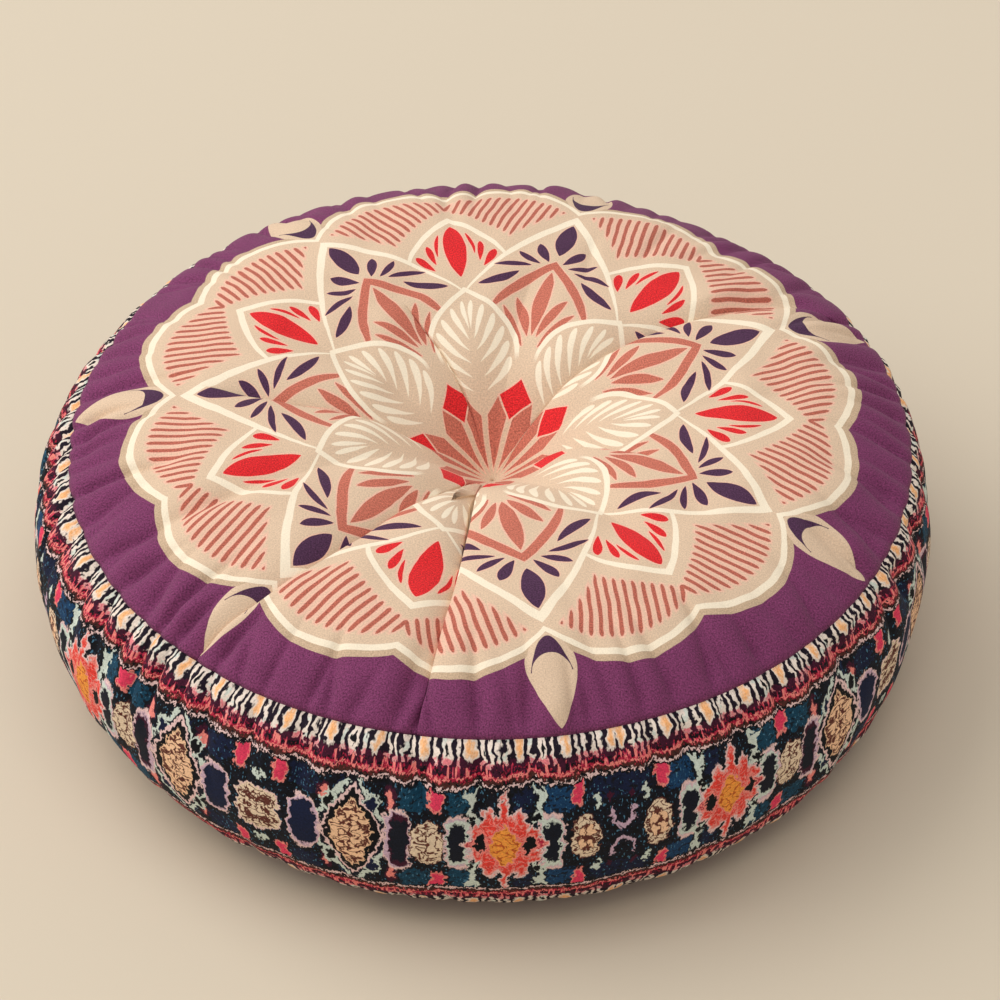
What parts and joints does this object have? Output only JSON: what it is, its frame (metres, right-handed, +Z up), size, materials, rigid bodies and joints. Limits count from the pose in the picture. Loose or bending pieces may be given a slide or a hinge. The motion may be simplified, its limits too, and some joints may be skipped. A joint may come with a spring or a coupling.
{
  "type": "tatami floor cushion",
  "caption": "Round boxed floor cushion with a crowned, deep-tufted printed top, a bulging patterned side band and a flat base, for sitting low on the floor.",
  "frame": {"origin": "middle of the flat patch that the cushion rests on, under the middle of its box", "axes": "+Z up, from the flat base to the tufted top; -Y is the side that the picture looks at from above"},
  "size_m": [0.5986, 0.5978, 0.1979],
  "materials": {
    "top_cloth": "pebbly peach-skin cloth printed with a seven-fold rosette of cream, coral, plum and red on taupe, inside a purple ring",
    "band_cloth": "soft plain-woven cloth printed with a carpet border in navy, crimson, peach, cream and orange",
    "bottom_cloth": "plain purple peach-skin cloth, unprinted"
  },
  "bodies": {
    "root": {"top_panel": "top_cloth", "side_band": "band_cloth", "bottom_panel": "bottom_cloth"}
  },
  "joints": []
}
